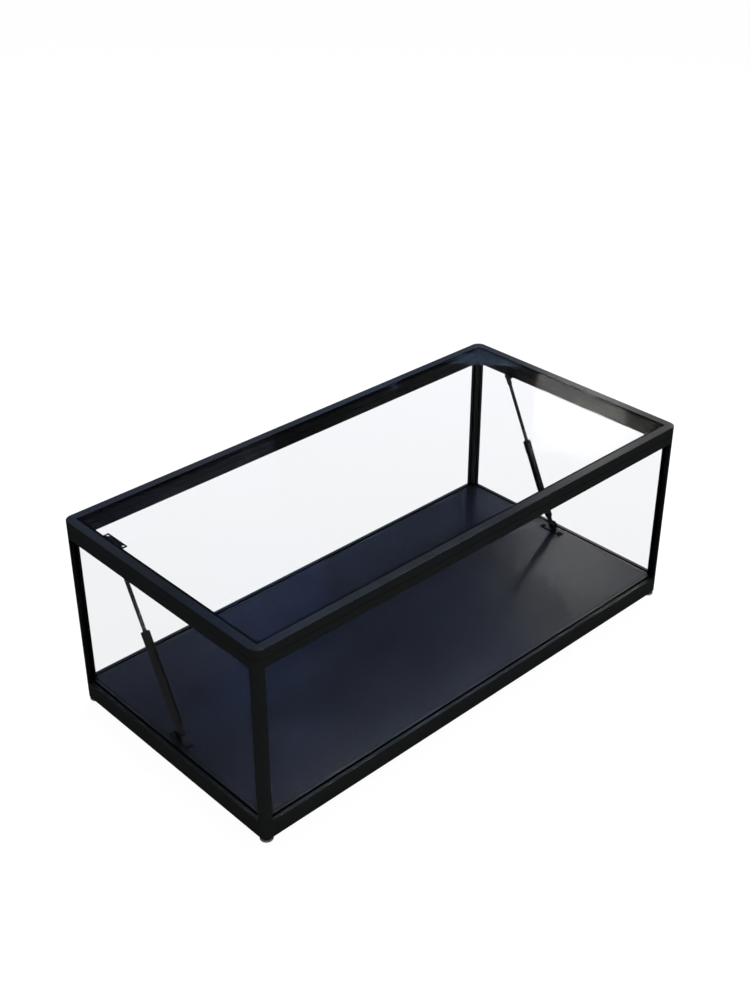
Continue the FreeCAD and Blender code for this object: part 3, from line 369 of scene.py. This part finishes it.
for end in ENDS:
    rounded_node(f"hinge_base_leaf_{end}", STEEL, "case", 0.2)
    rounded_node(f"hinge_lid_leaf_{end}", STEEL, "lid", 0.2)
    rounded_node(f"strut_floor_bracket_{end}", STEEL, "case", 0.4)
    rounded_node(f"strut_lid_bracket_{end}", STEEL, "lid", 0.4)
    rounded_node(f"strut_cylinder_{end}", TUBE, f"strut_{end}", 0.3)
    rounded_node(f"strut_rod_{end}", ROD, f"strut_rod_{end}", 0.3)
for node in ("hinge_pins", "strut_floor_pins", "post_screws"):
    dress(node, SCREW)
for corner in CORNERS:
    rounded_node(f"foot_stud_{corner}", STEEL, f"foot_{corner}", 0.3)
    rounded_node(f"foot_pad_{corner}", NYLON, f"foot_{corner}", 0.3)


# Screws: one socket screw, repeated by Geometry Nodes at the ends of the plain screws of the CAD model.

SHANK_OVERLAP = 0.2 * MM
END_FACE_REACH = 0.05 * MM
SCREW_INPUTS = {
    "Head Radius": 5.0, "Under Head Radius": 5.0, "Head Height": 2.5, "Edge": 0.4,
    "Socket Radius": 2.3, "Socket Depth": 1.6, "Shank Radius": 3.0, "Shank Length": 8.0,
}


def screw_tree():
    """A node group that sets a socket screw on every point of a mesh, turned along the point's facing."""
    tree = bpy.data.node_groups.new("socket screws", "GeometryNodeTree")
    tree.interface.new_socket("Places", in_out="INPUT", socket_type="NodeSocketGeometry")
    for name in SCREW_INPUTS:
        tree.interface.new_socket(f"{name} mm", in_out="INPUT", socket_type="NodeSocketFloat")
    tree.interface.new_socket("Metal", in_out="INPUT", socket_type="NodeSocketMaterial")
    tree.interface.new_socket("Screws", in_out="OUTPUT", socket_type="NodeSocketGeometry")
    given = add_node(tree, "NodeGroupInput").outputs

    def arithmetic(operation, first, second):
        return add_node(tree, "ShaderNodeMath", {0: first, 1: second}, operation=operation).outputs["Value"]

    size = {name: arithmetic("MULTIPLY", given[f"{name} mm"], MM) for name in SCREW_INPUTS}

    def turned_solid(top, bottom, depth, base, sides=40):
        """A frustum whose lower face stands at a height."""
        solid = add_node(tree, "GeometryNodeMeshCone", {
            "Vertices": sides, "Radius Top": top, "Radius Bottom": bottom, "Depth": depth,
        }).outputs["Mesh"]
        lift = add_node(tree, "ShaderNodeCombineXYZ", {"Z": base}).outputs["Vector"]
        return add_node(tree, "GeometryNodeTransform", {"Geometry": solid, "Translation": lift}).outputs["Geometry"]

    shoulder = arithmetic("SUBTRACT", size["Head Height"], size["Edge"])
    crown_radius = arithmetic("SUBTRACT", size["Head Radius"], size["Edge"])
    socket_floor = arithmetic("SUBTRACT", size["Head Height"], size["Socket Depth"])
    socket_reach = arithmetic("MULTIPLY", size["Socket Depth"], 2.0)
    head = turned_solid(size["Head Radius"], size["Under Head Radius"], shoulder, 0.0)
    crown = turned_solid(crown_radius, size["Head Radius"], size["Edge"], shoulder)
    shank_base = arithmetic("MULTIPLY", size["Shank Length"], -1.0)
    sunk_shank = arithmetic("ADD", size["Shank Length"], SHANK_OVERLAP)
    shank = turned_solid(size["Shank Radius"], size["Shank Radius"], sunk_shank, shank_base)
    hexagon = turned_solid(size["Socket Radius"], size["Socket Radius"], socket_reach, socket_floor, 6)
    whole = add_node(tree, "GeometryNodeMeshBoolean", operation="UNION")
    for part in (head, crown, shank):
        tree.links.new(part, whole.inputs["Mesh 2"])
    cut = add_node(tree, "GeometryNodeMeshBoolean", {"Mesh 1": whole.outputs["Mesh"], "Mesh 2": hexagon},
                   operation="DIFFERENCE")
    facing = add_node(tree, "GeometryNodeInputNamedAttribute", {"Name": "facing"}, data_type="FLOAT_VECTOR")
    turn = add_node(tree, "FunctionNodeAlignRotationToVector", {"Vector": facing.outputs["Attribute"]}, axis="Z")
    copies = add_node(tree, "GeometryNodeInstanceOnPoints", {
        "Points": given["Places"], "Instance": cut.outputs["Mesh"], "Rotation": turn.outputs["Rotation"],
    })
    solid = add_node(tree, "GeometryNodeRealizeInstances", {"Geometry": copies.outputs["Instances"]})
    coated = add_node(tree, "GeometryNodeSetMaterial", {
        "Geometry": solid.outputs["Geometry"], "Material": given["Metal"],
    })
    add_node(tree, "NodeGroupOutput", {"Screws": coated.outputs["Geometry"]})
    return tree


def islands(mesh):
    """The corners of each separate solid of a mesh."""
    parent = list(range(len(mesh.vertices)))

    def root(index):
        while parent[index] != index:
            parent[index] = parent[parent[index]]
            index = parent[index]
        return index

    for edge in mesh.edges:
        parent[root(edge.vertices[0])] = root(edge.vertices[1])
    found = {}
    for vertex in mesh.vertices:
        found.setdefault(root(vertex.index), []).append(vertex.co.copy())
    return list(found.values())


def screw_ends(node, axis):
    """The middle of each screw's outer face, and the way its head faces, along one axis."""
    ends = []
    for corners in islands(merged_copy(node)):
        middle = sum(corners, Vector()) / len(corners)
        low = min(corner[axis] for corner in corners)
        high = max(corner[axis] for corner in corners)

        def reach(level):
            near = [corner for corner in corners if abs(corner[axis] - level) < END_FACE_REACH]
            return max((corner - middle).length_squared - (level - middle[axis]) ** 2 for corner in near)

        sign = 1 if reach(high) > reach(low) else -1
        facing = Vector((0, 0, 0))
        facing[axis] = sign
        middle[axis] = high if sign > 0 else low
        ends.append((middle, facing))
    return ends


SCREW_TREE = screw_tree()


def set_screws(node, axis, body, sizes):
    """Swap a node of plain screws for socket screws of the same size."""
    ends = screw_ends(node, axis)
    height = sizes["Head Height"] * MM
    mesh = bpy.data.meshes.new(f"{node}_places")
    mesh.from_pydata([tuple(end - facing * height) for end, facing in ends], [], [])
    directions = mesh.attributes.new("facing", "FLOAT_VECTOR", "POINT")
    for slot, (end, facing) in zip(directions.data, ends):
        slot.vector = facing
    source = bpy.data.objects.new(f"{node}_places", mesh)
    bpy.context.scene.collection.objects.link(source)
    modifier = source.modifiers.new("screws", "NODES")
    modifier.node_group = SCREW_TREE
    given = {f"{name} mm": value for name, value in {**SCREW_INPUTS, **sizes}.items()}
    given["Metal"] = SCREW
    for socket in SCREW_TREE.interface.items_tree:
        if socket.in_out == "INPUT" and socket.name in given:
            modifier[socket.identifier] = given[socket.name]
    finished = shade(evaluated_mesh(source))
    return new_piece(f"{node}_socketed", finished, body, SCREW, [node])


X_AXIS, Z_AXIS = 0, 2
COUNTERSUNK = {
    "Head Radius": 2.7, "Under Head Radius": 1.6, "Head Height": 1.2, "Edge": 0.05,
    "Socket Radius": 1.15, "Socket Depth": 0.8, "Shank Radius": 1.5, "Shank Length": 5.8,
}
set_screws("floor_bracket_screws", Z_AXIS, "case", {
    "Head Radius": 5.25, "Under Head Radius": 5.25, "Head Height": 2.5, "Edge": 0.5,
    "Socket Radius": 2.3, "Socket Depth": 1.5, "Shank Radius": 3.2, "Shank Length": 11.5,
})
set_screws("lid_bracket_screws", X_AXIS, "lid", {
    "Head Radius": 3.6, "Under Head Radius": 3.6, "Head Height": 2.0, "Edge": 0.35,
    "Socket Radius": 1.6, "Socket Depth": 1.2, "Shank Radius": 2.0, "Shank Length": 7.8,
})
set_screws("hinge_base_screws", Z_AXIS, "case", COUNTERSUNK)
set_screws("hinge_lid_screws", Z_AXIS, "lid", COUNTERSUNK)


# The room: a pale floor and a white surround that camera, mirror and glass rays see at full white.

FLOOR_HALF_WIDTH = 20.0
FLOOR_GLOW = 0.965
FILL_STRENGTH = 0.3
WHITE_STRENGTH = 1.0


def seen_directly(tree):
    """1 for what the camera sees, straight or in metal and glass."""
    path = add_node(tree, "ShaderNodeLightPath")
    straight = add_node(tree, "ShaderNodeMath", {
        0: path.outputs["Is Camera Ray"], 1: path.outputs["Is Glossy Ray"],
    }, operation="MAXIMUM")
    return add_node(tree, "ShaderNodeMath", {
        0: straight.outputs["Value"], 1: path.outputs["Is Transmission Ray"],
    }, operation="MAXIMUM").outputs["Value"]


def white_floor():
    """Matt white studio floor that keeps the object's soft shadow."""
    material, tree, output, place = new_material("matt studio floor")
    matt = add_node(tree, "ShaderNodeBsdfDiffuse", {"Color": colour("#F4F4F4")})
    thin = add_node(tree, "ShaderNodeBsdfDiffuse", {"Color": colour("#505050")})
    lift = add_node(tree, "ShaderNodeEmission", {"Color": colour("#FFFFFF"), "Strength": FLOOR_GLOW})
    both = add_node(tree, "ShaderNodeAddShader", {0: thin.outputs["BSDF"], 1: lift.outputs["Emission"]})
    chosen = add_node(tree, "ShaderNodeMixShader", {
        0: seen_directly(tree), 1: matt.outputs["BSDF"], 2: both.outputs["Shader"],
    })
    tree.links.new(chosen.outputs["Shader"], output.inputs["Surface"])
    return material


def build_floor():
    """A flat floor far wider than the view."""
    half = FLOOR_HALF_WIDTH
    mesh = bpy.data.meshes.new("studio_floor")
    mesh.from_pydata([(-half, -half, 0), (half, -half, 0), (half, half, 0), (-half, half, 0)], [], [(0, 1, 2, 3)])
    mesh.materials.append(white_floor())
    floor = bpy.data.objects.new("studio_floor", mesh)
    bpy.context.scene.collection.objects.link(floor)


def build_surround():
    """A world that fills the shadows faintly and is seen as plain white."""
    world = bpy.data.worlds.new("studio")
    bpy.context.scene.world = world
    world.use_nodes = True
    tree = world.node_tree
    tree.nodes.clear()
    output = add_node(tree, "ShaderNodeOutputWorld")
    fill = add_node(tree, "ShaderNodeBackground", {"Color": colour("#FFFFFF"), "Strength": FILL_STRENGTH})
    white = add_node(tree, "ShaderNodeBackground", {"Color": colour("#FFFFFF"), "Strength": WHITE_STRENGTH})
    mixed = add_node(tree, "ShaderNodeMixShader", {
        0: seen_directly(tree), 1: fill.outputs["Background"], 2: white.outputs["Background"],
    })
    tree.links.new(mixed.outputs["Shader"], output.inputs["Surface"])


def soft_box(name, target, azimuth, elevation, distance, width, height, tint, radiance):
    """A rectangular studio lamp, set by the direction in which a point sees it, of a plain brightness."""
    flat = distance * math.cos(math.radians(elevation))
    offset = Vector((
        flat * math.cos(math.radians(azimuth)),
        flat * math.sin(math.radians(azimuth)),
        distance * math.sin(math.radians(elevation)),
    ))
    data = bpy.data.lights.new(name, "AREA")
    data.shape = "RECTANGLE"
    data.size = width
    data.size_y = height
    data.color = colour(tint)[:3]
    data.energy = radiance * math.pi * width * height
    lamp = bpy.data.objects.new(name, data)
    lamp.location = Vector(target) + offset
    lamp.rotation_euler = (-offset).to_track_quat("-Z", "Y").to_euler()
    bpy.context.scene.collection.objects.link(lamp)


build_floor()
build_surround()
# Each lamp: name, target, azimuth, elevation, distance, width, height, tint and radiance.
TABLE_MIDDLE = (0.0, 0.0, 0.4)
LAMPS = (
    ("top soft box", (0.0, 0.0, 0.3), -100.0, 68.0, 3.0, 2.0, 2.0, "#FFFFFF", 0.8),
    ("strip soft box", (0.58, 0.05, 0.45), 35.9, 28.0, 3.87, 0.466, 0.5, "#FFFFFF", 50.0),
    ("right soft box", TABLE_MIDDLE, 18.0, 22.0, 4.0, 0.56, 1.0, "#FFFFFF", 36.0),
    ("right fill box", TABLE_MIDDLE, 27.0, 22.0, 4.0, 0.56, 1.0, "#FFFBEF", 13.0),
    ("high soft box", TABLE_MIDDLE, 33.0, 45.0, 4.0, 0.56, 0.56, "#D1DEFF", 100.0),
    ("high middle box", TABLE_MIDDLE, 41.0, 46.0, 4.0, 0.56, 0.56, "#92C7FF", 14.0),
    ("high left box", TABLE_MIDDLE, 49.0, 50.0, 4.0, 0.56, 0.56, "#F7FCFF", 37.0),
    ("blue soft box", TABLE_MIDDLE, 60.0, 29.0, 4.0, 0.6, 0.7, "#D2DFFF", 8.1),
    ("blue left box", TABLE_MIDDLE, 70.0, 29.0, 4.0, 0.6, 0.7, "#B0C3FF", 9.9),
    ("blue high box", TABLE_MIDDLE, 57.0, 38.0, 4.0, 0.6, 0.56, "#5994FF", 11.0),
    ("front soft box", TABLE_MIDDLE, -92.0, 11.0, 4.0, 0.7, 0.45, "#FFFFFF", 30.0),
    ("low soft box", TABLE_MIDDLE, 40.0, 19.0, 4.0, 0.56, 0.56, "#AECDFF", 16.5),
    ("low left box", TABLE_MIDDLE, 50.0, 21.0, 4.0, 0.6, 0.56, "#AAC6FF", 27.5),
)
for lamp in LAMPS:
    soft_box(*lamp)


# The camera.

CAMERA_AZIMUTH = -43.403
CAMERA_ELEVATION = 31.239
CAMERA_PLACE = (-1.7496, -1.8126, 1.9028)
CAMERA_LENS_MM = 50.176
SENSOR_MM = 36.0

camera_data = bpy.data.cameras.new("camera")
camera_data.lens = CAMERA_LENS_MM
camera_data.sensor_width = SENSOR_MM
camera = bpy.data.objects.new("camera", camera_data)
camera.location = CAMERA_PLACE
camera.rotation_euler = (math.radians(90 - CAMERA_ELEVATION), 0, math.radians(CAMERA_AZIMUTH))
bpy.context.scene.collection.objects.link(camera)
bpy.context.scene.camera = camera

bpy.context.scene.view_settings.view_transform = "Standard"
